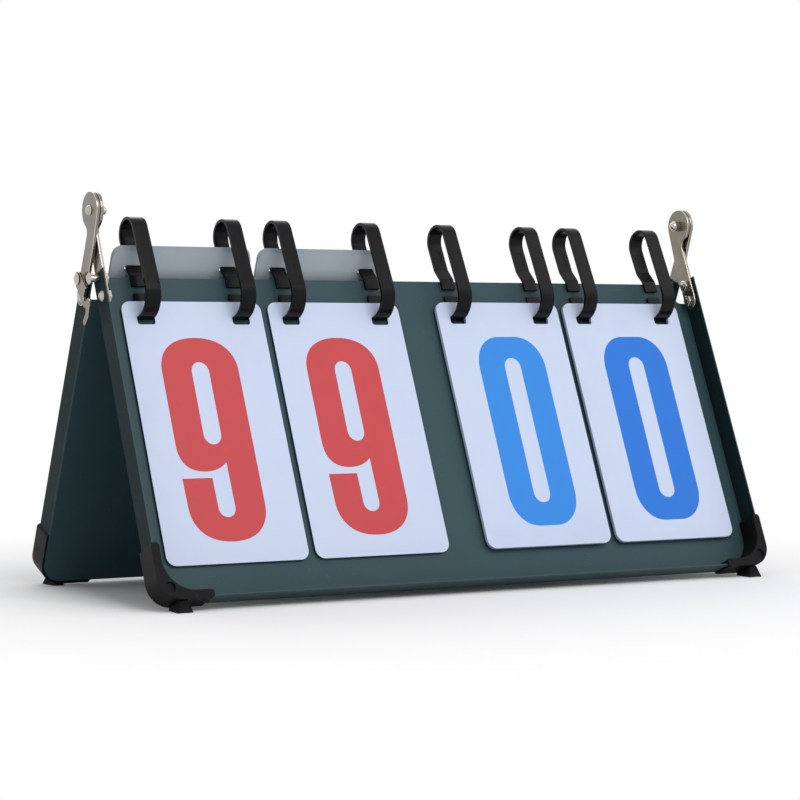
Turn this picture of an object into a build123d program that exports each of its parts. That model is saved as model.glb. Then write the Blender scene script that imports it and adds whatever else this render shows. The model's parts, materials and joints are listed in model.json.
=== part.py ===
from build123d import *

import os
from math import acos, asin, atan2, cos, degrees, hypot, radians, sin

# Tabletop flip scoreboard: two shallow sheet trays hinged along their top ends stand
# as an A-frame. Four packs of flip cards hang from eight curled rings on the front
# tray; the two left packs are turned over to the top nine cards, which drape over
# the rear tray. Millimetres, +Z up, +X to the right, the cards face -Y. The origin
# is at ground level on the plane midway between the trays.

# ---- stand -------------------------------------------------------------------
lean = 23.0                # each tray's lean from the vertical
ground_gap = 2.8           # lowest edge of a tray above the ground
stop_gap = 0.36            # back edge of a tray's top end to the mid-plane

# ---- tray --------------------------------------------------------------------
tray_height = 219.5
tray_depth = 16.5
sheet = 0.8
fold_chamfer = 0.7         # outside of the folded edges
corner_radius = 13.5       # lower corners, under the caps
relief_width = 9.2         # clearance cut in the face beside each side flange
relief_height = 15.0
relief_radius = 5.0

# ---- cards -------------------------------------------------------------------
card_width = 100.0
card_height = 178.0
card_thickness = 0.25
card_corner = 6.5
cards_per_pack = 10
pair_gap = 5.0             # between the two cards of a pair
centre_gap = 29.0          # between the two pairs
side_margin = 14.5         # outer cards to the tray's sides
hole_width = 12.5
hole_height = 6.0
hole_corner = 1.1
hole_inset = 16.0          # hole centre from the card's side
hole_drop = 13.0           # hole centre below the card's top edge
hang_gap = 0.3             # top of a hole above the strip that it hangs on
card_air = 0.05            # between a swinging card and what lies behind it
fan_step = 0.33            # each turned card hangs this much higher than the last
turned_gap = 0.5           # top of a turned card's hole above the strip
turned_air = 0.3           # turned cards to the rear tray's face

# ---- ring: one strip bent into foot, back leg, arch, front leg, curl and tail ---
strip_width = 10.5
strip_thickness = 2.0
arch_rise = 38.1           # arch above the tray's top end
arch_radius = 10.0
arch_front = -0.6          # front end of the arch, from the rim plane
arch_back = 4.9            # back end of the arch, behind the tray's face
leg_set = 3.0              # back leg's lower bend behind the tray's face
leg_bend_rise = 9.8        # that bend above the tray's top end
foot_bend_rise = 1.0       # bend over the tray's top end
foot_reach = 6.5           # foot down the face
curl_drop = 28.7           # level run through the holes, below the tray's top end
curl_front = -5.0          # where front leg and level run would meet
curl_radius = 15.2
tail_reach = 17.0          # tail up the face from the level run
bend_radius = 4.0
groove_width = 4.0
groove_depth = 0.4
peg_size = 3.2
peg_barb = 4.6
peg_length = 1.6           # barbs behind the tray's face
peg_clearance = 0.1

# ---- hinge arms and their hardware -------------------------------------------
head_radius = 12.0
arm_width = 12.0
arm_centre = 8.0           # middle of the arm, behind the rim plane
arm_thickness = 2.0
arm_neck = 5.0
upper_screw = 44.0         # distances down from the pivot
lower_screw = 56.0
pivot_diameter = 5.0
running_clearance = 0.05   # round the pivots that turn
fixed_clearance = 0.1      # round the screws that don't
pivot_head = 7.0
pivot_head_height = 2.6
pivot_nut_height = 7.0
screw_neck = 3.4           # square, through arm and flange
screw_head = 7.0
screw_head_height = 2.2
nut_width = 7.0            # across flats
nut_height = 3.6

# ---- latch -------------------------------------------------------------------
latch_thickness = 1.6
latch_air = 0.4            # latch plate clear of the domed screw head under it
latch_journal = 4.5
latch_shoulder = 6.5
latch_head = 7.5
latch_head_height = 1.8
keeper_neck = 5.0
keeper_clearance = 0.3     # between the keeper's neck and the notch
hang_angle = -135.0        # where the notch lies round the latch's pivot, hanging
latch_eye = 4.8            # radii round which the lever is drawn
upper_jaw_end = 1.5
lower_jaw_end = 1.6
latch_elbow = 2.0
latch_knuckle = 2.6
latch_tail = 2.3
latch_tip = 2.1
upper_jaw_inset = 1.3      # their middles inside or outside the notch's walls
elbow_inset = 0.4
lower_jaw_outset = 2.4
knuckle_outset = 4.0
tail_reach_back = 14.4     # and from the pivot, hanging
tail_drop = 23.4
tip_reach_back = 10.8
tip_drop = 27.4
close_gap = 0.85           # degrees left between the rims when the caps meet

# ---- corner caps and feet ----------------------------------------------------
cap_wall = 1.5
cap_leg = 37.0
cap_lip = 5.5
cap_inner_radius = 20.0
cap_clearance = 0.1
cap_recess = 7.0           # blind round recess in the widest part of the lip
cap_recess_depth = 1.4
foot_inset = 14.2          # foot's middle from the tray's side
foot_top = 8.0
foot_bottom = 14.5
foot_margin = 0.8          # foot short of the tray's rim and back
foot_chamfer = 1.2

# ---- what follows from them --------------------------------------------------
tilt = radians(lean)
tray_back = tray_depth
face = tray_depth - sheet                     # front of the tray's face
half_width = centre_gap / 2 + 2 * card_width + pair_gap + side_margin
tray_width = 2 * half_width
tray_top = (tray_depth * cos(tilt) + stop_gap) / sin(tilt)
tray_bottom = tray_top + tray_height
pivot_height = tray_bottom * cos(tilt) + tray_depth * sin(tilt) + ground_gap

curl_level = tray_top + curl_drop             # middle of the ring's level run
hole_level = curl_level - strip_thickness / 2 - hang_gap + hole_height / 2
swing_level = curl_level - curl_radius        # centre of the curl
tail_front = face - strip_thickness           # front of the ring's tail
pack_depth = cards_per_pack * card_thickness

card_centres = [side * (centre_gap / 2 + card_width / 2 + n * (card_width + pair_gap))
                for side, n in ((-1, 1), (-1, 0), (1, 0), (1, 1))]
card_names = ("left_tens", "left_units", "right_tens", "right_units")
turned_packs = (0, 1)
ring_places = [centre + side * (card_width / 2 - hole_inset)
               for centre in card_centres for side in (-1, 1)]

# Distance from the latch's pivot to the keeper when the case is shut: the two upper
# screws face each other across the rims, which stay close_gap apart.
gap = radians(close_gap)
keeper_dx = upper_screw * (cos(gap) - 1) - arm_centre * sin(gap)
keeper_dy = arm_centre * (1 + cos(gap)) + upper_screw * sin(gap)
latch_reach = hypot(keeper_dx, keeper_dy)

# ---- frames ------------------------------------------------------------------
# A tray is drawn hanging from the pivot axis: X along its width, Y from its rim
# plane to its back, Z up, with s the distance down from the pivot. It is then
# leaned back, and the rear one turned round to face the other way.
front_place = Pos(0, 0, pivot_height) * Rot(-lean, 0, 0)
rear_place = Rot(0, 0, 180) * front_place
places = {"front": front_place, "rear": rear_place}


def down(y, s):
    """Point of a side profile, s below the pivot and y behind the rim plane."""
    return (y, -s)


def plate(sketch, front, back):
    """Sketch in the tray's own plane, given depth from front to back."""
    return extrude(Plane.XZ.offset(-back) * sketch, amount=back - front)


def side_plate(sketch, start, end):
    """Side profile (y, -s) extruded along X from start to end."""
    return extrude(Plane.YZ.offset(min(start, end)) * sketch, amount=abs(end - start))


def pin(start, end, diameter, y, s):
    return side_plate(Pos(*down(y, s)) * Circle(diameter / 2), start, end)


def hexagon(start, end, flats, y, s):
    nut = RegularPolygon(flats / 2, 6, major_radius=False)
    return side_plate(Pos(*down(y, s)) * nut, start, end)


def square_neck(start, end, size, y, s):
    return side_plate(Pos(*down(y, s)) * Rectangle(size, size), start, end)


# ---- tray --------------------------------------------------------------------
def tray_outline(grow=0.0, top=0.0):
    """Outline of a tray, grown by a margin, with rounded lower corners."""
    width = tray_width + 2 * grow
    height = tray_height + grow + top
    outline = Pos(0, -tray_bottom - grow + height / 2) * Rectangle(width, height)
    corners = outline.vertices().group_by(Axis.Y)[0]
    return fillet(corners, corner_radius + grow)


def tray(peg_levels):
    body = plate(tray_outline(), 0, tray_back)
    folds = body.faces().sort_by(Axis.Y)[-1].edges().filter_by(
        lambda edge: edge.center().Z < -tray_top - 0.1)
    body = chamfer(folds, fold_chamfer)
    body -= plate(tray_outline(-sheet, 2 * sheet), -sheet, face)

    cut = Rectangle(relief_width + relief_radius, relief_height + relief_radius)
    for side in (-1, 1):
        inner = half_width - sheet - relief_width
        middle = side * (inner + (relief_width + relief_radius) / 2)
        level = -tray_top + (relief_radius - relief_height) / 2
        notch = Pos(middle, level) * cut
        corner = notch.vertices().group_by(Axis.Y)[0].sort_by(
            lambda vertex: abs(vertex.X))[0]
        notch = fillet(corner, relief_radius)
        reach = Pos(side * (inner + relief_width / 2), -tray_top)
        notch &= reach * Rectangle(relief_width, 3 * relief_height)
        body -= plate(notch, face - fold_chamfer, tray_back + sheet)
        for level in (upper_screw, lower_screw):
            edge = side * half_width
            body -= square_neck(edge - side * 2 * sheet, edge + side * sheet,
                                screw_neck + 2 * fixed_clearance, arm_centre, level)
    slot = peg_size + 2 * peg_clearance
    for place in ring_places:
        for level in peg_levels:
            hole = Pos(place, -level) * Rectangle(slot, slot)
            body -= plate(hole, face - sheet, tray_back + sheet)
    return body


# ---- corner cap: skirt round the corner, lip over the rim, curved inner wall -----
cap_side = half_width + cap_wall
cap_base = tray_bottom + cap_wall
cap_inner = (cap_side - cap_lip - cap_inner_radius, -(cap_base - cap_lip - cap_inner_radius))
cap_outer = (half_width - corner_radius, -(tray_bottom - corner_radius))
diagonal = sin(radians(45))
cap_hole = tuple(
    (inner + outer + sign * diagonal * (cap_inner_radius + corner_radius + cap_wall)) / 2
    for inner, outer, sign in zip(cap_inner, cap_outer, (1, -1)))


def corner_cap(side):
    reach = Pos(cap_side - cap_leg / 2, -(cap_base - cap_leg / 2))
    plan = tray_outline(cap_wall) & reach * Rectangle(cap_leg, cap_leg)
    bay = Pos(cap_side - cap_lip - cap_leg / 2, -(cap_base - cap_lip - cap_leg / 2))
    bay = bay * Rectangle(cap_leg, cap_leg)
    corner = bay.vertices().group_by(Axis.Y)[0].sort_by(Axis.X)[-1]
    plan -= fillet(corner, cap_inner_radius)
    ends = plan.vertices().filter_by(
        lambda v: abs(v.X - (cap_side - cap_leg)) < 0.01
        or abs(v.Y + cap_base - cap_leg) < 0.01)
    plan = chamfer(ends, cap_wall)
    cap = plate(plan, -cap_wall, tray_back)

    slot = tray_outline(cap_clearance / 2) - tray_outline(-sheet - cap_clearance)
    cap -= plate(slot, 0, tray_back + sheet)
    behind = tray_outline(cap_clearance / 2, cap_leg)
    cap -= plate(behind, face - fold_chamfer, tray_back + sheet)
    recess = Pos(*cap_hole) * Circle(cap_recess / 2)
    cap -= plate(recess, -2 * cap_wall, cap_recess_depth - cap_wall)
    return cap if side > 0 else mirror(cap, Plane.YZ)


def foot(side):
    """Flared rubber foot under a cap, its sole cut level with the ground."""
    top = cap_base
    low = pivot_height / cos(tilt)
    middle = side * (half_width - foot_inset)
    profile = make_face(Polyline(
        (middle - foot_top / 2, -top), (middle + foot_top / 2, -top),
        (middle + foot_bottom / 2, -low), (middle - foot_bottom / 2, -low), close=True))
    block = plate(profile, foot_margin - cap_wall, tray_back - foot_margin)
    sides_and_top = block.edges().filter_by(
        lambda edge: edge.bounding_box().max.Z > -(low + top) / 2
        and edge.bounding_box().size.Y < foot_chamfer)
    block = chamfer(sides_and_top, foot_chamfer)
    ground = Pos(0, 0, tray_height / 2) * Box(2 * tray_width, 2 * tray_height, tray_height)
    return block & front_place.inverse() * ground


# ---- ring --------------------------------------------------------------------
foot_level = tray_top + foot_reach
peg_levels = (tray_top + foot_reach / 2, curl_level - tail_reach * 0.55)
centre_line = face - strip_thickness / 2
ring_route = (
    (centre_line, foot_level),
    (centre_line, tray_top - foot_bend_rise),
    (face + leg_set, tray_top - leg_bend_rise),
    (face + arch_back, tray_top - arch_rise),
    (arch_front, tray_top - arch_rise),
    (curl_front, curl_level),
    (centre_line, curl_level),
    (centre_line, curl_level - tail_reach))
ring_bends = (bend_radius, bend_radius, arch_radius, arch_radius, curl_radius, 0)


def ring(x):
    route = FilletPolyline(*[down(y, s) for y, s in ring_route], radius=ring_bends)
    half = strip_thickness / 2
    sides = [route.offset_2d(half, side=side, closed=False)
             for side in (Side.LEFT, Side.RIGHT)]
    ends = [Line(sides[0] @ t, min((sides[1] @ 0, sides[1] @ 1),
                                   key=lambda p: (p - sides[0] @ t).length)) for t in (0, 1)]
    profile = make_face([*sides[0].edges(), *sides[1].edges(), *ends])
    body = side_plate(profile, x - strip_width / 2, x + strip_width / 2)

    # shallow groove down the inside of the back leg
    (y0, s0), (y1, s1) = ring_route[2], ring_route[3]
    rise = Vector(0, y1 - y0, s0 - s1)
    length = rise.length - 2 * bend_radius - arch_radius
    middle = Vector(x, y0, -s0) + rise.normalized() * (length / 2 + bend_radius)
    inward = Vector(1, 0, 0).cross(rise)
    seat = Plane(origin=middle, x_dir=(1, 0, 0), z_dir=inward).offset(strip_thickness / 2)
    body -= extrude(seat * Rectangle(groove_width, length), amount=groove_depth, both=True)

    # barbed pegs through the tray's face
    half, barb = peg_size / 2, peg_barb / 2
    for level in peg_levels:
        peg = make_face(Polyline(
            down(centre_line, level - half), down(tray_back, level - half),
            down(tray_back, level - barb), down(tray_back + peg_length, level - half),
            down(tray_back + peg_length, level + half), down(tray_back, level + barb),
            down(tray_back, level + half), down(centre_line, level + half), close=True))
        body += side_plate(peg, x - half, x + half)
    return body


# ---- cards -------------------------------------------------------------------
def card_sketch(centre):
    """Card outline with its two oblong holes, the hole line at Y = 0."""
    outline = RectangleRounded(card_width, card_height, card_corner)
    sketch = Pos(centre, hole_drop - card_height / 2) * outline
    for side in (-1, 1):
        hole = Pos(centre + side * (card_width / 2 - hole_inset), 0)
        opening = Rectangle(hole_width, hole_height)
        sketch -= hole * chamfer(opening.vertices(), hole_corner)
    return sketch


def hanging_cards(centre, front, count):
    sketch = Pos(0, -hole_level) * card_sketch(centre)
    return plate(sketch, front, front + count * card_thickness)


# The turned cards hang where the bend of the back leg crosses their holes, and
# their lower ends rest on the rear tray's face.
leg_foot, leg_top = ring_route[1], ring_route[2]
hang_share = 0.83
hang_y = leg_foot[0] + hang_share * (leg_top[0] - leg_foot[0])
hang_s = leg_foot[1] + hang_share * (leg_top[1] - leg_foot[1])
cross_y = hang_y * cos(tilt) - hang_s * sin(tilt)
cross_z = pivot_height - hang_s * cos(tilt) - hang_y * sin(tilt)
leg_angle = atan2(leg_foot[1] - leg_top[1], leg_top[0] - leg_foot[0]) - tilt
strip_half = strip_thickness / 2 / sin(leg_angle + radians(90) - tilt)


def turned_lean():
    """Lean that brings the lowest edge of the first turned card to the rear face."""
    drop = hole_height / 2 - strip_half - turned_gap
    length = card_height - hole_drop
    angle = tilt
    for _ in range(8):
        hole_y, hole_z = cross_y + drop * sin(angle), cross_z - drop * cos(angle)
        depth = (pivot_height - hole_z) * sin(tilt) - hole_y * cos(tilt)
        angle = tilt - asin((face - turned_air - depth) / length)
    return angle, hole_y, hole_z


turned_angle, turned_y, turned_z = turned_lean()


def turned_cards(centre):
    """Nine cards face to face, each hanging a little higher than the one before."""
    up = Vector(0, -sin(turned_angle), cos(turned_angle))
    out = Vector(0, cos(turned_angle), sin(turned_angle))
    lowest = Plane(origin=(0, turned_y, turned_z), x_dir=(1, 0, 0), z_dir=-out)
    step = out * card_thickness + up * fan_step
    through = step * (cards_per_pack - 1)
    return extrude(lowest * card_sketch(centre), amount=through.length, dir=through)


# ---- hinge arm ---------------------------------------------------------------
def arm(start, end, pivot_bore):
    """Flat arm: round head at the pivot, straight strip down the side flange."""
    front, back = arm_centre - arm_width / 2, arm_centre + arm_width / 2
    shoulder = 2 * head_radius
    reach = hypot(back, shoulder)
    tangent = atan2(shoulder, back) - acos(head_radius / reach)
    profile = Circle(head_radius) + make_face(Polyline(
        down(head_radius * cos(tangent), head_radius * sin(tangent)),
        down(back, shoulder), down(front, shoulder),
        down(front, head_radius - 1), down(0, 0), close=True))
    length = lower_screw - shoulder
    profile += Pos(*down(arm_centre, shoulder + length / 2)) * Rectangle(arm_width, length)
    profile += Pos(*down(arm_centre, lower_screw)) * Circle(arm_width / 2)
    neck_level = (head_radius ** 2 - front ** 2) ** 0.5
    neck = profile.vertices().sort_by_distance((front, -neck_level))[0]
    profile = fillet(neck, arm_neck)
    profile -= Circle(pivot_bore / 2)
    for level in (upper_screw, lower_screw):
        size = screw_neck + 2 * fixed_clearance
        profile -= Pos(*down(arm_centre, level)) * Rectangle(size, size)
    return side_plate(profile, start, end)


def nut(base, side, level):
    return hexagon(base, base - side * nut_height, nut_width, arm_centre, level)


def screw(outer, inner, side, level):
    """Round-head screw along X; outer is the face under its head."""
    top = pin(outer, outer + side * screw_head_height, screw_head, arm_centre, level)
    neck = square_neck(outer, inner, screw_neck, arm_centre, level)
    return top + neck + nut(inner, side, level)


def pivot_rivet(side):
    """Hinge pin through both arms, with a round head outside and a nut inside."""
    outer = side * (half_width + arm_thickness + running_clearance)
    inner = side * (half_width - sheet - arm_thickness)
    shank = pin(outer, inner, pivot_diameter, 0, 0)
    top = pin(outer, outer + side * pivot_head_height, pivot_head, 0, 0)
    return top + shank + hexagon(inner, inner - side * pivot_nut_height, pivot_head, 0, 0)


# ---- latch on the left end ---------------------------------------------------
latch_base = half_width + arm_thickness + screw_head_height + latch_air
latch_outer = latch_base + latch_thickness
latch_cap = latch_outer + 0.4


def latch_rivet():
    """Shoulder rivet through the rear left arm that carries the latch."""
    base, inner = half_width + arm_thickness, half_width - sheet
    body = hexagon(base, latch_base, latch_shoulder, arm_centre, upper_screw)
    body += square_neck(inner, base, screw_neck, arm_centre, upper_screw)
    body += pin(latch_base, latch_cap, latch_journal, arm_centre, upper_screw)
    body += pin(latch_cap, latch_cap + latch_head_height, latch_head, arm_centre,
                upper_screw)
    return body + nut(inner, 1, upper_screw)


def keeper_stud():
    """Headed stud on the front left flange that the latch hooks over."""
    base, inner = -half_width, sheet + arm_thickness - half_width
    body = pin(base, -latch_cap, keeper_neck, arm_centre, upper_screw)
    body += pin(-latch_cap, -latch_cap - latch_head_height, latch_head, arm_centre,
                upper_screw)
    body += square_neck(base, inner, screw_neck, arm_centre, upper_screw)
    return body + nut(inner, -1, upper_screw)


def polar(radius, angle):
    return (radius * cos(radians(angle)), radius * sin(radians(angle)))


def link(*discs):
    """Outline drawn tight round discs given as (y, z, radius)."""
    circles = [Pos(y, z) * Circle(radius) for y, z, radius in discs]
    return make_hull([edge for circle in circles for edge in circle.edges()])


def latch_lever():
    """Hook plate, drawn round its pivot in the (y, z) plane as it hangs."""
    half_notch = keeper_neck / 2 + keeper_clearance
    inner, outer = latch_reach - half_notch, latch_reach + half_notch
    eye = (0, 0, latch_eye)
    upper_jaw = (*polar(inner - upper_jaw_inset, hang_angle - 16), upper_jaw_end)
    elbow = (*polar(outer - elbow_inset, hang_angle + 12), latch_elbow)
    lower_jaw = (*polar(outer + lower_jaw_outset, hang_angle - 5), lower_jaw_end)
    knuckle = (*polar(outer + knuckle_outset, hang_angle + 2), latch_knuckle)
    bend = (-tail_reach_back, -tail_drop, latch_tail)
    tip = (-tip_reach_back, -tip_drop, latch_tip)
    plan = link(eye, upper_jaw, elbow) + link(elbow, knuckle, lower_jaw)
    plan += link(knuckle, bend) + link(bend, tip)

    far = 3 * outer
    way = make_face(Polyline((0, 0), polar(far, hang_angle), polar(far, hang_angle - 50),
                             close=True))
    notch = (Circle(outer) - Circle(inner)) & way
    notch += Pos(*polar(latch_reach, hang_angle)) * Circle(half_notch)
    plan -= notch
    plan -= Circle(latch_journal / 2 + running_clearance)
    lever = extrude(Plane.YZ.offset(-latch_outer) * plan, amount=latch_thickness)
    pivot = (rear_place * Pos(0, arm_centre, -upper_screw)).position
    return Pos(0, pivot.Y, pivot.Z) * lever


# ---- every piece, in the standing frame -----------------------------------------
pieces = {}
for body, place in places.items():
    pieces[f"{body}_tray"] = place * tray(peg_levels if body == "front" else ())
    pieces[f"{body}_caps"] = place * Compound([corner_cap(-1), corner_cap(1)])
    arms, screws = [], []
    for side, end in ((-1, "left"), (1, "right")):
        own = side if body == "front" else -side
        pieces[f"{body}_{end}_foot"] = place * foot(own)
        edge = own * half_width
        inner = own * (half_width - sheet)
        if body == "front":
            lap = own * (half_width - sheet - arm_thickness)
            arms.append(arm(inner, lap, pivot_diameter))
            outer, under = edge, lap
        else:
            lap = own * (half_width + arm_thickness)
            arms.append(arm(edge, lap, pivot_diameter + 2 * running_clearance))
            outer, under = lap, inner
        screws.append(screw(outer, under, own, lower_screw))
        if end == "right":
            screws.append(screw(outer, under, own, upper_screw))
    pieces[f"{body}_arms"] = place * Compound(arms)
    pieces[f"{body}_screws"] = place * Compound(screws)

pieces["pivot_rivets"] = front_place * Compound([pivot_rivet(-1), pivot_rivet(1)])
pieces["keeper_stud"] = front_place * keeper_stud()
pieces["latch_rivet"] = rear_place * latch_rivet()
pieces["latch_lever"] = latch_lever()

for end, row in (("left", ring_places[:4]), ("right", ring_places[4:])):
    pieces[f"{end}_rings"] = front_place * Compound([ring(x) for x in row])

for n, (name, centre) in enumerate(zip(card_names, card_centres)):
    if n in turned_packs:
        level = tail_front - card_thickness - card_air
        pieces[f"{name}_turned_cards"] = turned_cards(centre)
    else:
        level = tail_front - pack_depth
        spare = level + card_thickness
        pieces[f"{name}_spare_cards"] = front_place * hanging_cards(
            centre, spare, cards_per_pack - 1)
        level -= card_air
    pieces[f"{name}_card"] = front_place * hanging_cards(centre, level, 1)

os.makedirs("parts", exist_ok=True)
for name, piece in pieces.items():
    export_step(piece, f"parts/{name}.step")

fold_range = 360 - 2 * lean - close_gap
latch_range = 360 + hang_angle - lean - degrees(atan2(keeper_dx, keeper_dy)) - close_gap
print("pivot height", round(pivot_height, 3), "fold range", round(fold_range, 3))
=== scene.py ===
import json
import math

import bmesh
import bpy
from mathutils import Matrix, Vector


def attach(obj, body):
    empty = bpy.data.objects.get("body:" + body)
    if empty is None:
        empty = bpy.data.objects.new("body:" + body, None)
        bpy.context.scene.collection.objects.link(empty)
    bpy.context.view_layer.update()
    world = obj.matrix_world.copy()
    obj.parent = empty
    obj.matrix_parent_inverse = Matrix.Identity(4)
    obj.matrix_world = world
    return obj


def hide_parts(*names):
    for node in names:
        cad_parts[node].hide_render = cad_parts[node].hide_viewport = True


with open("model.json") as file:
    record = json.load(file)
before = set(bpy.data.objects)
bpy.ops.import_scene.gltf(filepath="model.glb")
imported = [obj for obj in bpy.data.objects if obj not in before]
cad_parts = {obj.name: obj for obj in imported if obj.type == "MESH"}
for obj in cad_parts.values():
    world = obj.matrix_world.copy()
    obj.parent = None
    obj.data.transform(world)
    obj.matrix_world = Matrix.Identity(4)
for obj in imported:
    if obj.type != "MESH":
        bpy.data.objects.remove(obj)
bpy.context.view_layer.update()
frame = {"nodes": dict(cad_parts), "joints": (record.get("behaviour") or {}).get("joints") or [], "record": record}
joints = {joint["name"]: joint for joint in frame["joints"]}
print("scoreboard frame loaded:", len(frame["nodes"]), "nodes")

# how the stand leans and how far it reaches; lengths in metres
stand = {"lean": 23.0, "hinge": joints["frame_fold"]["pos_m"][2], "halfWidth": 0.234,
         "sheet": 0.0008, "armThickness": 0.002, "armCentre": 0.008}
lean = math.radians(stand["lean"])
across = Vector((1, 0, 0))
downTray = Vector((0, -math.sin(lean), -math.cos(lean)))
outOfTray = Vector((0, -math.cos(lean), math.sin(lean)))


def onTray(x, behindRim, below, rear=False):
    # a point of a tray, measured behind its rim and down from the hinge
    point = (Vector((0, 0, stand["hinge"])) + across * x + downTray * below
             - outOfTray * behindRim)
    return Vector((-point.x, -point.y, point.z)) if rear else point


def screenColor(red, green, blue):
    # 0-255 screen colour to the linear values that shaders use
    def linear(value):
        value /= 255
        return value / 12.92 if value <= 0.04045 else ((value + 0.055) / 1.055) ** 2.4
    return (linear(red), linear(green), linear(blue), 1.0)


def tint(color, factor):
    return tuple(channel * factor for channel in color[:3]) + (1.0,)


# a shader socket that can be used in expressions
class Wire:
    def __init__(self, paint, socket):
        self.paint, self.socket = paint, socket

    def join(self, operation, other, swap=False):
        pair = [other, self] if swap else [self, other]
        return self.paint.node("ShaderNodeMath", {"operation": operation}, pair)

    def __add__(self, other): return self.join("ADD", other)
    def __radd__(self, other): return self.join("ADD", other, True)
    def __sub__(self, other): return self.join("SUBTRACT", other)
    def __rsub__(self, other): return self.join("SUBTRACT", other, True)
    def __mul__(self, other): return self.join("MULTIPLY", other)
    def __rmul__(self, other): return self.join("MULTIPLY", other, True)


class Paint:
    # one material; every node comes from node()
    def __init__(self, name, **fixed):
        self.material = bpy.data.materials.new(name)
        self.material.use_nodes = True
        self.tree = self.material.node_tree
        self.shader = self.tree.nodes["Principled BSDF"]
        for key, value in fixed.items():
            self.shader.inputs[self.spoken(key)].default_value = value
        self.place = self.node("ShaderNodeTexCoord", {}, [], "Object")

    def spoken(self, key):
        words = "".join(" " + letter if letter.isupper() else letter for letter in key)
        return words.strip().title().replace("Ior", "IOR")

    def node(self, kind, settings, values, output=0):
        made = self.tree.nodes.new(kind)
        for key, value in settings.items():
            if key == "stops":
                ramp = made.color_ramp
                while len(ramp.elements) < len(value):
                    ramp.elements.new(0.5)
                for element, (position, colour) in zip(ramp.elements, value):
                    element.position, element.color = position, colour
            else:
                setattr(made, key, value)
        pairs = values.items() if isinstance(values, dict) else enumerate(values)
        for key, value in pairs:
            if isinstance(value, Wire):
                self.tree.links.new(value.socket, made.inputs[key])
            elif value is not None:
                made.inputs[key].default_value = value
        return Wire(self, made.outputs[output])

    def noise(self, scale, detail=3.0, place=None):
        # scale in features per metre
        return self.node("ShaderNodeTexNoise", {}, {
            "Vector": place or self.place, "Scale": scale, "Detail": detail})

    def stretch(self, x, y, z):
        return self.node("ShaderNodeMapping", {}, {"Vector": self.place, "Scale": (x, y, z)})

    def along(self, direction):
        # distance along a direction, in metres
        return self.node("ShaderNodeVectorMath", {"operation": "DOT_PRODUCT"},
                         [self.place, tuple(direction)], "Value")

    def between(self, factor, low, high):
        return self.node("ShaderNodeMix", {"data_type": "RGBA"},
                         {0: factor, 6: low, 7: high}, 2)

    def span(self, value, fromLow, fromHigh, toLow=0.0, toHigh=1.0):
        return self.node("ShaderNodeMapRange", {}, [value, fromLow, fromHigh, toLow, toHigh])

    def bump(self, height, distance, strength):
        return self.node("ShaderNodeBump", {}, {
            "Strength": strength, "Distance": distance, "Height": height})

    def feed(self, **wires):
        for key, wire in wires.items():
            self.tree.links.new(wire.socket, self.shader.inputs[self.spoken(key)])
        return self.material


# tray enamel: dark green, lightly stippled, with a little dust and rubbing; the side-facing faces carry painted
# shade
trayEnamel = {"green": screenColor(43, 65, 70), "lighter": screenColor(51, 75, 81),
              "dust": screenColor(92, 102, 104), "rubbed": screenColor(84, 100, 102),
              "roughness": 0.4, "stipple": 900.0, "shine": 0.16,
              "sideShade": 0.34, "sideShine": 0.03}


def makeTrayEnamel(name, edge, shade, shine):
    # the edges are rubbed a little paler than the faces; the bent sides are painted darker as painted shade
    paint = Paint(name, specularIorLevel=shine)
    clouds = paint.noise(9.0, 4.0)
    stipple = paint.noise(trayEnamel["stipple"], 2.0)
    color = paint.between(clouds, tint(trayEnamel["green"], shade),
                          tint(trayEnamel["lighter"], shade))
    specks = paint.span(paint.noise(420.0, 2.0), 0.66, 0.74) * 0.25
    color = paint.between(specks, color, trayEnamel["dust"])
    wipe = paint.noise(26.0, 5.0, paint.stretch(1.0, 0.5, 0.5))
    if edge:
        rubbed = paint.span(paint.noise(150.0, 4.0), 0.45, 0.7) * 0.5
        color = paint.between(rubbed, color, trayEnamel["rubbed"])
    return paint.feed(
        baseColor=color,
        roughness=trayEnamel["roughness"] + (wipe - 0.5) * 0.22 + specks * 0.4,
        normal=paint.bump(stipple, 0.00006, 0.5))


# black mouldings: corner caps, rings, feet
capPlastic = {"black": screenColor(15, 15, 17), "scuff": screenColor(58, 58, 62),
              "roughness": 0.46}


def makeCapPlastic():
    paint = Paint("capPlastic", specularIorLevel=0.08)
    grain = paint.noise(2600.0, 2.0)
    scuffs = paint.span(paint.noise(260.0, 5.0, paint.stretch(1.0, 2.5, 0.6)), 0.6, 0.78)
    color = paint.between(scuffs * 0.4, capPlastic["black"], capPlastic["scuff"])
    return paint.feed(
        baseColor=color,
        roughness=capPlastic["roughness"] + (paint.noise(60.0) - 0.5) * 0.2 + scuffs * 0.15,
        normal=paint.bump(grain, 0.00008, 0.45))


ringPlastic = {"black": screenColor(8, 8, 11), "worn": screenColor(34, 35, 42),
               "roughness": 0.22}


def makeRingPlastic():
    paint = Paint("ringPlastic", specularIorLevel=0.14)
    flow = paint.noise(130.0, 3.0, paint.stretch(3.0, 1.0, 1.0))
    hairline = paint.noise(900.0, 3.0, paint.stretch(4.0, 0.5, 0.5))
    worn = paint.span(hairline, 0.6, 0.8)
    return paint.feed(
        baseColor=paint.between(worn * 0.35, ringPlastic["black"], ringPlastic["worn"]),
        roughness=ringPlastic["roughness"] + (flow - 0.5) * 0.16 + worn * 0.1,
        normal=paint.bump(flow, 0.00012, 0.35))


footRubber = {"black": screenColor(12, 12, 13), "grey": screenColor(44, 43, 42)}


def makeFootRubber():
    paint = Paint("footRubber", specularIorLevel=0.08)
    grit = paint.noise(1500.0, 3.0)
    dusty = paint.span(paint.along((0, 0, 1)), 0.004, 0.0)
    color = paint.between(dusty * grit * 0.8, footRubber["black"], footRubber["grey"])
    return paint.feed(baseColor=color, roughness=0.7 + (grit - 0.5) * 0.2,
                      normal=paint.bump(grit, 0.0001, 0.5))
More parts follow.
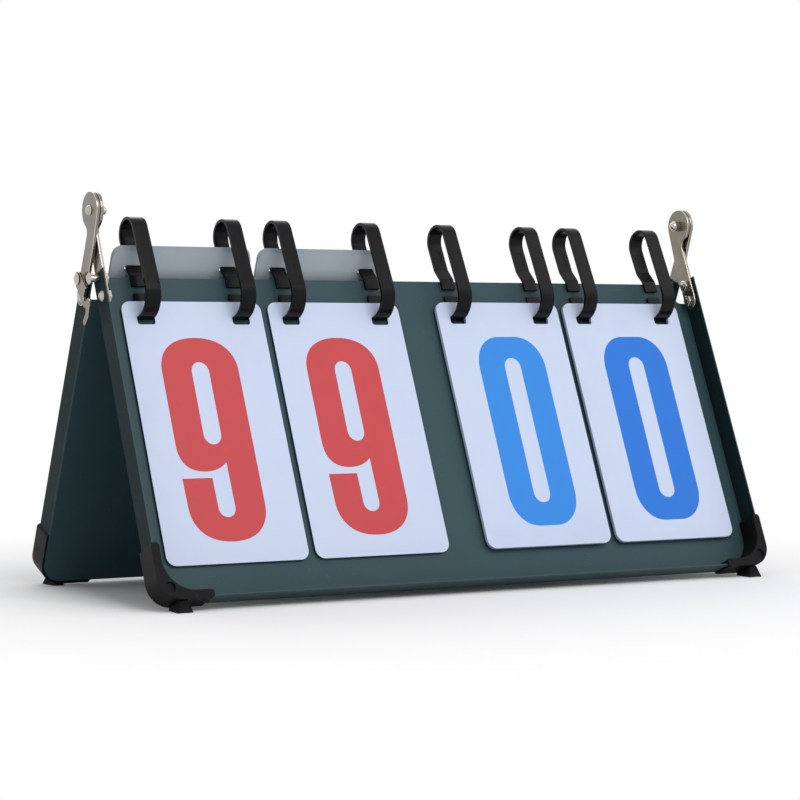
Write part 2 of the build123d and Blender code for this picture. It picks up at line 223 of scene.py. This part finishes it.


# cards: bluish white plastic sheet; the turned ones hang with their backs outward and get a greyer copy of the
# sheet as painted shade
cardSheet = {"white": screenColor(186, 198, 224), "warmer": screenColor(193, 203, 224),
             "line": screenColor(140, 150, 170), "roughness": 0.42}
turnedSheet = {"white": screenColor(152, 162, 172), "warmer": screenColor(164, 173, 180),
               "line": screenColor(120, 130, 142), "roughness": 0.5}


def makeCardSheet(name, sheet):
    paint = Paint(name, specularIorLevel=0.35)
    mottle = paint.noise(40.0, 4.0)
    smudge = paint.span(paint.noise(14.0, 5.0), 0.55, 0.75)
    weave = paint.noise(1400.0, 2.0)
    color = paint.between(mottle, sheet["white"], sheet["warmer"])
    return paint.feed(
        baseColor=paint.between(smudge * 0.12, color, sheet["line"]),
        roughness=sheet["roughness"] + (mottle - 0.5) * 0.15 + smudge * 0.08,
        normal=paint.bump(weave, 0.00003, 0.35))


# nickel: arms and latch, their edges painted pale as a painted highlight, and the fixings
nickel = {"arm": {"bright": screenColor(144, 138, 128), "dull": screenColor(112, 106, 98),
                  "roughness": 0.24},
          "edge": {"bright": screenColor(226, 222, 212), "dull": screenColor(188, 183, 174),
                   "roughness": 0.16},
          "fixing": {"bright": screenColor(206, 202, 193), "dull": screenColor(160, 155, 146),
                     "roughness": 0.18}}


def makeNickel(name, metal, brushed):
    paint = Paint(name, metallic=1.0)
    haze = paint.noise(70.0, 4.0)
    lines = paint.noise(700.0, 4.0, paint.stretch(1.0, 0.25, 2.2))
    color = paint.between(haze, metal["bright"], metal["dull"])
    pits = paint.span(paint.noise(800.0, 3.0), 0.68, 0.76)
    color = paint.between(pits * 0.3, color, tint(metal["dull"], 0.5))
    height = lines if brushed else haze
    return paint.feed(baseColor=color,
                      roughness=metal["roughness"] + (lines - 0.5) * 0.2 + pits * 0.2,
                      normal=paint.bump(height, 0.00004, 0.3))


# ink of the printed figures; the "sky" ink is the same blue made paler as a painted reflection
ink = {"red": screenColor(188, 64, 67), "blue": screenColor(30, 111, 205),
       "sky": screenColor(43, 129, 214)}


def makeInk(name, color):
    paint = Paint(name, specularIorLevel=0.25)
    mottle = paint.noise(55.0, 4.0)
    grain = paint.noise(1800.0, 2.0)
    return paint.feed(
        baseColor=paint.between(mottle, tint(color, 0.94), tint(color, 1.04)),
        roughness=0.45 + (mottle - 0.5) * 0.12,
        normal=paint.bump(grain, 0.00002, 0.3))


paints = {
    "tray": makeTrayEnamel("trayEnamel", False, 1.0, trayEnamel["shine"]),
    "trayEdge": makeTrayEnamel("trayEdge", True, 1.0, trayEnamel["shine"]),
    "traySide": makeTrayEnamel("traySide", False, trayEnamel["sideShade"],
                               trayEnamel["sideShine"]),
    "cap": makeCapPlastic(), "ring": makeRingPlastic(), "foot": makeFootRubber(),
    "arm": makeNickel("armNickel", nickel["arm"], True),
    "armEdge": makeNickel("armEdge", nickel["edge"], False),
    "fixing": makeNickel("fixingNickel", nickel["fixing"], False),
    "card": makeCardSheet("cardSheet", cardSheet),
    "turned": makeCardSheet("turnedSheet", turnedSheet),
    "redInk": makeInk("redInk", ink["red"]), "blueInk": makeInk("blueInk", ink["blue"]),
    "skyInk": makeInk("skyInk", ink["sky"])}
print("finishes made:", len(paints))

slotFinish = {"tray_paint": "tray", "cap_plastic": "cap", "ring_plastic": "ring",
              "foot_rubber": "foot", "card_sheet": "card", "arm_nickel": "arm",
              "fastener_steel": "fixing"}
finishOf = {part["node"]: slotFinish[part["material_slot"]]
            for part in frame["record"]["subparts"]}
bodyOf = {node: body for body, nodes in frame["record"]["behaviour"]["bodies"].items()
          for node in nodes}
for nodeName, part in frame["nodes"].items():
    part.data.materials.clear()
    part.data.materials.append(paints[finishOf[nodeName]])
print("finishes laid on the stand")


def addPiece(name, mesh, finish, body):
    piece = bpy.data.objects.new(name, mesh)
    bpy.context.collection.objects.link(piece)
    mesh.materials.clear()
    mesh.materials.append(paints[finish])
    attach(piece, body)
    return piece


# pressed and moulded pieces with their real, slightly rounded edges
softEdges = {"front_tray": 0.00022, "rear_tray": 0.00022, "front_caps": 0.0006,
             "rear_caps": 0.0006, "left_rings": 0.0004, "right_rings": 0.0004,
             "front_arms": 0.0003, "rear_arms": 0.0003, "latch_lever": 0.0003,
             "front_left_foot": 0.0007, "front_right_foot": 0.0007,
             "rear_left_foot": 0.0007, "rear_right_foot": 0.0007}
# the drawn feet are narrower than the solid ones
footWidth = 0.8
# bevel faces get these finishes: rubbed paler enamel on the trays, a painted highlight on the arms
edgeFinish = {"tray": "trayEdge", "arm": "armEdge"}
rounding = {"weld": 0.000002, "flat": math.radians(0.6), "corner": math.radians(32),
            "segments": 2, "sideways": 0.8, "evenness": 60}


def camel(name):
    first, *rest = name.split("_")
    return first + "".join(word.capitalize() for word in rest)


def softenEdges(nodeName, width):
    shape = bmesh.new()
    shape.from_mesh(frame["nodes"][nodeName].data)
    bmesh.ops.remove_doubles(shape, verts=shape.verts, dist=rounding["weld"])
    bmesh.ops.dissolve_limit(shape, angle_limit=rounding["flat"],
                             verts=shape.verts, edges=shape.edges)
    mesh = bpy.data.meshes.new(camel(nodeName))
    if finishOf[nodeName] == "foot":
        sides = [vert.co.x for vert in shape.verts]
        middle = (min(sides) + max(sides)) / 2
        for vert in shape.verts:
            vert.co.x = middle + (vert.co.x - middle) * footWidth
    shape.to_mesh(mesh)
    shape.free()
    piece = addPiece(camel(nodeName), mesh, finishOf[nodeName], bodyOf[nodeName])
    if finishOf[nodeName] in edgeFinish:
        mesh.materials.append(paints[edgeFinish[finishOf[nodeName]]])
    # faces turned sideways get the darker enamel: painted shade on the tray sides
    if finishOf[nodeName] == "tray":
        mesh.materials.append(paints["traySide"])
        for face in mesh.polygons:
            face.material_index = 2 if abs(face.normal.x) > rounding["sideways"] else 0
    bevel = piece.modifiers.new("rounding", "BEVEL")
    bevel.width, bevel.segments = width, rounding["segments"]
    bevel.limit_method, bevel.angle_limit = "ANGLE", rounding["corner"]
    bevel.material = 1 if len(mesh.materials) > 1 else -1
    mesh.shade_smooth()
    even = piece.modifiers.new("even", "WEIGHTED_NORMAL")
    even.mode, even.weight = "FACE_AREA", rounding["evenness"]
    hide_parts(nodeName)


for nodeName, width in softEdges.items():
    softenEdges(nodeName, width)
print("edges rounded:", len(softEdges))


# packs of loose cards: each leaf is drawn, a hair out of line with the next
leafSize = {"width": 0.0998, "height": 0.1779, "corner": 0.0065, "thickness": 0.00019,
            "pitch": 0.00025, "holeWide": 0.0125, "holeTall": 0.006, "holeRound": 0.00135,
            "halfCard": 0.05, "holeInset": 0.016, "holeDrop": 0.013, "shift": 0.00008,
            "shiftTurn": 2.4, "shiftSpread": 90}
perMetre = 1000            # curves are drawn in millimetres
packs = {
    "right_tens_spare_cards": {"joint": "right_tens_flip", "kind": "spare"},
    "right_units_spare_cards": {"joint": "right_units_flip", "kind": "spare"},
    "left_tens_turned_cards": {"joint": "left_tens_pack_flip", "kind": "turned"},
    "left_units_turned_cards": {"joint": "left_units_pack_flip", "kind": "turned"}}
spareStack = {"behindRim": 0.01145, "below": 0.07019, "count": 9}
turnedStack = {"hole": (0.004804, 0.210559), "lean": 21.187, "rise": 0.00033, "count": 9}


def roundedLoop(width, height, radius, middle=(0, 0), steps=6):
    points = []
    for quarter in range(4):
        start = quarter * math.pi / 2
        turnX = (width / 2 - radius) * (1, -1, -1, 1)[quarter]
        turnY = (height / 2 - radius) * (1, 1, -1, -1)[quarter]
        for step in range(steps + 1):
            angle = start + math.pi / 2 * step / steps
            points.append((middle[0] + turnX + radius * math.cos(angle),
                           middle[1] + turnY + radius * math.sin(angle)))
    return points


def plateMesh(name, loops, thickness):
    # a flat sheet with holes, its outline in metres, lying on the XY plane
    curve = bpy.data.curves.new(name, "CURVE")
    curve.dimensions, curve.fill_mode = "2D", "BOTH"
    curve.extrude = thickness / 2 * perMetre
    for loop in loops:
        spline = curve.splines.new("POLY")
        spline.points.add(len(loop) - 1)
        spline.use_cyclic_u = True
        for knot, (x, y) in zip(spline.points, loop):
            knot.co = (x * perMetre, y * perMetre, 0, 1)
    drawn = bpy.data.objects.new(name + "Drawn", curve)
    mesh = bpy.data.meshes.new_from_object(drawn)
    bpy.data.objects.remove(drawn)
    mesh.transform(Matrix.Scale(1 / perMetre, 4))
    return mesh


def leafLoops():
    size = leafSize
    middle = (0, size["holeDrop"] - size["height"] / 2)
    loops = [roundedLoop(size["width"], size["height"], size["corner"], middle)]
    for side in (-1, 1):
        place = (side * (size["halfCard"] - size["holeInset"]), 0)
        loops.append(roundedLoop(size["holeWide"], size["holeTall"], size["holeRound"],
                                 place, 4))
    return loops


def layPack(nodeName, joint, kind):
    leaf = plateMesh("leaf", leafLoops(), leafSize["thickness"])
    pack = bmesh.new()
    middle = joints[joint]["pos_m"][0]
    stack = spareStack if kind == "spare" else turnedStack
    for count in range(stack["count"]):
        if kind == "spare":
            outward, upward = outOfTray, -downTray
            origin = onTray(middle, stack["behindRim"], stack["below"])
            inward = -outward
        else:
            tip = math.radians(stack["lean"])
            upward = Vector((0, -math.sin(tip), math.cos(tip)))
            inward = Vector((0, math.cos(tip), math.sin(tip)))
            outward = inward
            origin = Vector((middle, *stack["hole"])) + upward * stack["rise"] * (count + 0.5)
        origin += inward * leafSize["pitch"] * (count + 0.5)
        turn = count * leafSize["shiftTurn"] + middle * leafSize["shiftSpread"]
        origin += across * leafSize["shift"] * math.sin(turn)
        sideways = upward.cross(outward)
        place = Matrix((sideways, upward, outward)).transposed().to_4x4()
        place.translation = origin
        laid = leaf.copy()
        # the cut edges of the sheets stay bright white, unshaded even where the faces carry painted shade
        for face in laid.polygons:
            face.material_index = 0 if abs(face.normal.z) > 0.5 else 1
        laid.transform(place)
        pack.from_mesh(laid)
        bpy.data.meshes.remove(laid)
    mesh = bpy.data.meshes.new(camel(nodeName))
    pack.to_mesh(mesh)
    pack.free()
    bpy.data.meshes.remove(leaf)
    # turned packs take the greyer sheet, which is painted shade
    finish = "card" if kind == "spare" else "turned"
    piece = addPiece(camel(nodeName), mesh, finish, bodyOf[nodeName])
    mesh.materials.append(paints["card"])
    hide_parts(nodeName)


for nodeName, pack in packs.items():
    layPack(nodeName, **pack)
print("packs laid:", len(packs))


# domed rivets, screws and their nuts, drawn pointing along +X and then turned outward
fixing = {"upper": 0.044, "lower": 0.056, "play": 0.00005, "screwHead": 0.0035,
          "screwRise": 0.0022, "shank": 0.0019, "nut": 0.0035, "nutDepth": 0.0029,
          "thread": 0.00024, "pitch": 0.0006, "tip": 0.0036, "tipStart": 0.0002,
          "pivotHead": 0.0035, "pivotRise": 0.0026, "pivotShank": 0.0025,
          "pivotNut": 0.00345, "pivotNutDepth": 0.0042, "capHead": 0.0031, "capRise": 0.0027,
          "latchAir": 0.0004, "latchPlate": 0.0016, "latchHead": 0.00375,
          "latchRise": 0.0018, "sleeve": 0.0031, "journal": 0.00225, "keeperNeck": 0.0025}


def dome(start, radius, rise):
    # half profile of a domed head: (distance along, radius)
    ball = (radius ** 2 + rise ** 2) / (2 * rise)
    edge = 0.00025
    profile = [(start, 0.0), (start, radius - edge / 2), (start + edge / 2, radius)]
    for step in range(1, 9):
        along = edge / 2 + (rise - edge / 2) * math.sin(math.pi / 2 * step / 8)
        reach = max(ball ** 2 - (along + ball - rise) ** 2, 0.0)
        profile.append((start + along, math.sqrt(reach) * 0.995))
    profile[-1] = (start + rise, 0.0)
    return profile, 40


def barrel(start, end, radius, chamfer=0.00015):
    low, high = min(start, end), max(start, end)
    return [(low, 0.0), (low, radius - chamfer), (low + chamfer, radius),
            (high - chamfer, radius), (high, radius - chamfer), (high, 0.0)], 40


def hexNut(start, end, flats):
    low, high = min(start, end), max(start, end)
    reach = flats / math.cos(math.pi / 6)
    return [(low, 0.0), (low, reach * 0.9), (low + reach * 0.09, reach),
            (high - reach * 0.09, reach), (high, reach * 0.9), (high, 0.0)], 6


def threaded(start, end, radius):
    low, high = min(start, end), max(start, end)
    turns = max(2, round((high - low) / fixing["pitch"]))
    profile = [(low, 0.0)]
    for turn in range(turns):
        profile += [(low + (high - low) * (turn + 0.1) / turns, radius - fixing["thread"]),
                    (low + (high - low) * (turn + 0.5) / turns, radius)]
    return profile + [(high, radius - fixing["thread"]), (high, 0.0)], 32


def turnedPiece(shape, profile, count, place, sign):
    rings = []
    for along, radius in profile:
        if radius == 0.0:
            rings.append([shape.verts.new(place + across * sign * along)])
        else:
            rings.append([shape.verts.new(place + Vector((
                sign * along, radius * math.cos(2 * math.pi * step / count),
                radius * math.sin(2 * math.pi * step / count)))) for step in range(count)])
    for first, second in zip(rings, rings[1:]):
        for step in range(count):
            corners = [first[step % len(first)], first[(step + 1) % len(first)],
                       second[(step + 1) % len(second)], second[step % len(second)]]
            corners = list(dict.fromkeys(corners))
            if len(corners) > 2:
                shape.faces.new(corners)


def fixings(name, node, parts):
    shape = bmesh.new()
    for (profile, count), place, sign in parts:
        turnedPiece(shape, profile, count, place, sign)
    bmesh.ops.recalc_face_normals(shape, faces=shape.faces)
    mesh = bpy.data.meshes.new(name)
    shape.to_mesh(mesh)
    shape.free()
    mesh.shade_smooth()
    mesh.set_sharp_from_angle(angle=math.radians(34))
    piece = addPiece(name, mesh, "fixing", bodyOf[node])
    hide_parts(node)


def screwParts(sign, outer, inner, place):
    size = fixing
    return [(dome(outer, size["screwHead"], size["screwRise"]), place, sign),
            (barrel(inner, outer, size["shank"]), place, sign),
            (hexNut(inner - size["nutDepth"], inner, size["nut"]), place, sign),
            (threaded(inner - size["tip"], inner - size["nutDepth"] + size["tipStart"],
                      size["shank"] + size["play"]), place, sign)]


def makeFixings():
    size = fixing
    width, sheet, arm = stand["halfWidth"], stand["sheet"], stand["armThickness"]
    centre = stand["armCentre"]
    for body, rear in (("front", False), ("rear", True)):
        outer = width if body == "front" else width + arm
        inner = width - sheet - arm if body == "front" else width - sheet
        parts = []
        for sign, level in ((-1, "lower"), (1, "lower"), (1, "upper")):
            place = onTray(0, centre, size[level], rear)
            parts += screwParts(sign, outer, inner, place)
        fixings(body + "Screws", body + "_screws", parts)

    hinge = onTray(0, 0, 0)
    head, nutFace = width + arm + size["play"], width - sheet - arm
    nutEnd = nutFace - size["pivotNutDepth"]
    parts = []
    for sign in (-1, 1):
        parts += [(dome(head, size["pivotHead"], size["pivotRise"]), hinge, sign),
                  (barrel(nutFace, head, size["pivotShank"]), hinge, sign),
                  (hexNut(nutEnd, nutFace, size["pivotNut"]), hinge, sign),
                  (dome(0, size["capHead"], size["capRise"]),
                   hinge + across * sign * nutEnd, -sign)]
    fixings("pivotRivets", "pivot_rivets", parts)

    latchFace = width + arm + size["screwRise"] + size["latchAir"]
    latchTop = latchFace + size["latchPlate"] + size["latchAir"]
    place = onTray(0, centre, size["upper"])
    nutFace = width - sheet - arm
    fixings("keeperStud", "keeper_stud", [
        (dome(latchTop, size["latchHead"], size["latchRise"]), place, -1),
        (barrel(width, latchTop, size["keeperNeck"]), place, -1),
        (barrel(nutFace, width, size["shank"]), place, -1),
        (hexNut(nutFace - size["nutDepth"], nutFace, size["nut"]), place, -1),
        (threaded(nutFace - size["tip"], nutFace - size["nutDepth"] + size["tipStart"],
                  size["shank"]), place, -1)])
    place = onTray(0, centre, size["upper"], True)
    nutFace = width - sheet
    fixings("latchRivet", "latch_rivet", [
        (dome(latchTop, size["latchHead"], size["latchRise"]), place, -1),
        (barrel(latchFace, latchTop, size["journal"]), place, -1),
        (barrel(width + arm, latchFace, size["sleeve"]), place, -1),
        (barrel(nutFace, width + arm, size["shank"]), place, -1),
        (hexNut(nutFace - size["nutDepth"], nutFace, size["nut"]), place, -1),
        (threaded(nutFace - size["tip"], nutFace - size["nutDepth"] + size["tipStart"],
                  size["shank"]), place, -1)])


makeFixings()
print("fixings turned")


# the figures: flat outlines in millimetres from the card's top left corner
def roundedBar(left, top, right, bottom, rx, ry, pull=0.56):
    # closed outline with elliptical corners: (point, handle in, handle out)
    hx, hy = rx * pull, ry * pull
    return [((left + rx, top), (left + rx - hx, top), None),
            ((right - rx, top), None, (right - rx + hx, top)),
            ((right, top + ry), (right, top + ry - hy), None),
            ((right, bottom - ry), None, (right, bottom - ry + hy)),
            ((right - rx, bottom), (right - rx + hx, bottom), None),
            ((left + rx, bottom), None, (left + rx - hx, bottom)),
            ((left, bottom - ry), (left, bottom - ry + hy), None),
            ((left, top + ry), None, (left, top + ry - hy))]


figures = {
    "zero": [roundedBar(24.6, 25.8, 79.0, 163.7, 20.5, 23.5, 0.58),
             roundedBar(45.3, 41.6, 58.3, 147.2, 6.5, 7.0)],
    "nine": [[((20.8, 121.2), None, None), ((41.8, 121.2), None, None),
              ((42.1, 140.6), None, (42.1, 145.0)), ((48.0, 147.6), (44.4, 147.6), (51.6, 147.6)),
              ((54.0, 140.6), (54.0, 145.0), None), ((53.7, 110.9), None, (49.5, 115.2)),
              ((38.0, 116.8), (44.0, 116.8), (26.5, 116.8)), ((20.4, 98.0), (20.4, 111.0), None),
              ((20.4, 48.5), None, (20.4, 34.0)), ((47.6, 25.4), (30.5, 25.4), (64.5, 25.4)),
              ((75.0, 48.5), (75.0, 34.0), None), ((75.4, 139.5), None, (75.4, 154.5)),
              ((48.4, 163.9), (66.0, 163.9), (31.0, 163.9)), ((21.2, 139.8), (21.2, 154.5), None)],
             roundedBar(41.3, 42.3, 53.7, 98.7, 6.2, 7.0)]}
printing = {"drop": 0.0039, "card": 0.00025, "lift": 0.00003, "film": 0.00003}


def printFigure(name, outline, jointName, body, finish):
    curve = bpy.data.curves.new(name, "CURVE")
    curve.dimensions = "2D"
    curve.fill_mode = "BOTH"
    curve.resolution_u = 14
    curve.extrude = printing["film"] / 2 * perMetre
    for loop in figures[outline]:
        spline = curve.splines.new("BEZIER")
        spline.bezier_points.add(len(loop) - 1)
        spline.use_cyclic_u = True
        for knot, (point, handleIn, handleOut) in zip(spline.bezier_points, loop):
            knot.handle_left_type = knot.handle_right_type = "FREE"
            knot.co = (point[0], -point[1], 0)
            knot.handle_left = ((handleIn or point)[0], -(handleIn or point)[1], 0)
            knot.handle_right = ((handleOut or point)[0], -(handleOut or point)[1], 0)
    drawn = bpy.data.objects.new(name + "Drawn", curve)
    mesh = bpy.data.meshes.new_from_object(drawn)
    bpy.data.objects.remove(drawn)
    axis = Vector(joints[jointName]["pos_m"])
    corner = (axis - across * leafSize["halfCard"] + downTray * printing["drop"]
              + outOfTray * (printing["card"] / 2 + printing["lift"]))
    place = Matrix((across, -downTray, outOfTray)).transposed().to_4x4()
    place.translation = corner
    mesh.transform(place @ Matrix.Scale(1 / perMetre, 4))
    addPiece(name, mesh, finish, body)


# the left zero's paler blue is a painted reflection on the same ink
for cardName, outline, finish in (("left_tens", "nine", "redInk"),
                                  ("left_units", "nine", "redInk"),
                                  ("right_tens", "zero", "skyInk"),
                                  ("right_units", "zero", "blueInk")):
    printFigure(camel(cardName) + "Figure", outline, cardName + "_flip",
                cardName + "_front_card", finish)
print("figures printed")


# room: pale floor, soft light, white all round
room = {"floorSize": 6.0, "floor": (0.93, 0.93, 0.93, 1.0), "sky": 0.54,
        "fadeFrom": 0.22, "fadeTo": 0.5,
        "key": {"place": (0.1, -2.1, 1.9), "size": 1.6, "power": 37.0},
        "fill": {"place": (1.9, -1.2, 1.3), "size": 1.8, "power": 9.0},
        "rim": {"place": (0.3, 1.9, 1.7), "size": 1.5, "power": 12.0}}


def makeFloor():
    size = room["floorSize"] / 2
    mesh = bpy.data.meshes.new("floor")
    mesh.from_pydata([(-size, -size, 0), (size, -size, 0), (size, size, 0), (-size, size, 0)],
                     [], [(0, 1, 2, 3)])
    floor = bpy.data.objects.new("floor", mesh)
    bpy.context.collection.objects.link(floor)
    # away from the stand the floor fades into the white background
    paint = Paint("floorPaint", baseColor=room["floor"], roughness=0.9, specularIorLevel=0.1)
    away = paint.node("ShaderNodeVectorMath", {"operation": "LENGTH"}, [paint.place], "Value")
    faded = paint.span(away, room["fadeFrom"], room["fadeTo"])
    plain = paint.node("ShaderNodeEmission", {}, [(1, 1, 1, 1), 1.0])
    mixed = paint.node("ShaderNodeMixShader", {},
                       [faded, Wire(paint, paint.shader.outputs[0]), plain])
    paint.tree.links.new(mixed.socket, paint.tree.nodes["Material Output"].inputs["Surface"])
    mesh.materials.append(paint.material)


def makeSky():
    world = bpy.data.worlds.new("sky")
    bpy.context.scene.world = world
    world.use_nodes = True
    nodes, links = world.node_tree.nodes, world.node_tree.links
    light = nodes["Background"]
    light.inputs["Color"].default_value = (0.97, 0.98, 1.0, 1.0)
    light.inputs["Strength"].default_value = room["sky"]
    plain = nodes.new("ShaderNodeBackground")
    plain.inputs["Color"].default_value = (1, 1, 1, 1)
    path = nodes.new("ShaderNodeLightPath")
    seen = path.outputs["Is Camera Ray"]
    for ray in ("Is Glossy Ray", "Is Transmission Ray"):
        either = nodes.new("ShaderNodeMath")
        either.operation = "MAXIMUM"
        links.new(seen, either.inputs[0])
        links.new(path.outputs[ray], either.inputs[1])
        seen = either.outputs[0]
    mix = nodes.new("ShaderNodeMixShader")
    links.new(seen, mix.inputs[0])
    links.new(light.outputs[0], mix.inputs[1])
    links.new(plain.outputs[0], mix.inputs[2])
    links.new(mix.outputs[0], nodes["World Output"].inputs["Surface"])


def makeLamp(name, lamp):
    data = bpy.data.lights.new(name, "AREA")
    data.size, data.energy = lamp["size"], lamp["power"]
    made = bpy.data.objects.new(name, data)
    made.location = lamp["place"]
    aim = Vector((0, 0, 0.12)) - Vector(lamp["place"])
    made.rotation_euler = aim.to_track_quat("-Z", "Y").to_euler()
    bpy.context.collection.objects.link(made)


makeFloor()
makeSky()
for lampName in ("key", "fill", "rim"):
    makeLamp(lampName, room[lampName])

# the photograph's own viewpoint
view = {"place": (-0.8798, -1.4652, 0.1687), "right": (0.85882, -0.5123, 0.0),
        "up": (0.0134, 0.0225, 0.99965), "lens": 112.1}
camera = bpy.data.cameras.new("camera")
camera.lens, camera.sensor_width = view["lens"], 36.0
camera.clip_start, camera.clip_end = 0.05, 30.0
eye = bpy.data.objects.new("camera", camera)
right, up = Vector(view["right"]).normalized(), Vector(view["up"]).normalized()
back = right.cross(up)
eye.matrix_world = Matrix.Translation(view["place"]) @ Matrix(
    (right, back.cross(right), back)).transposed().to_4x4()
bpy.context.collection.objects.link(eye)
bpy.context.scene.camera = eye
bpy.context.scene.view_settings.view_transform = "Standard"
print("room and camera set")
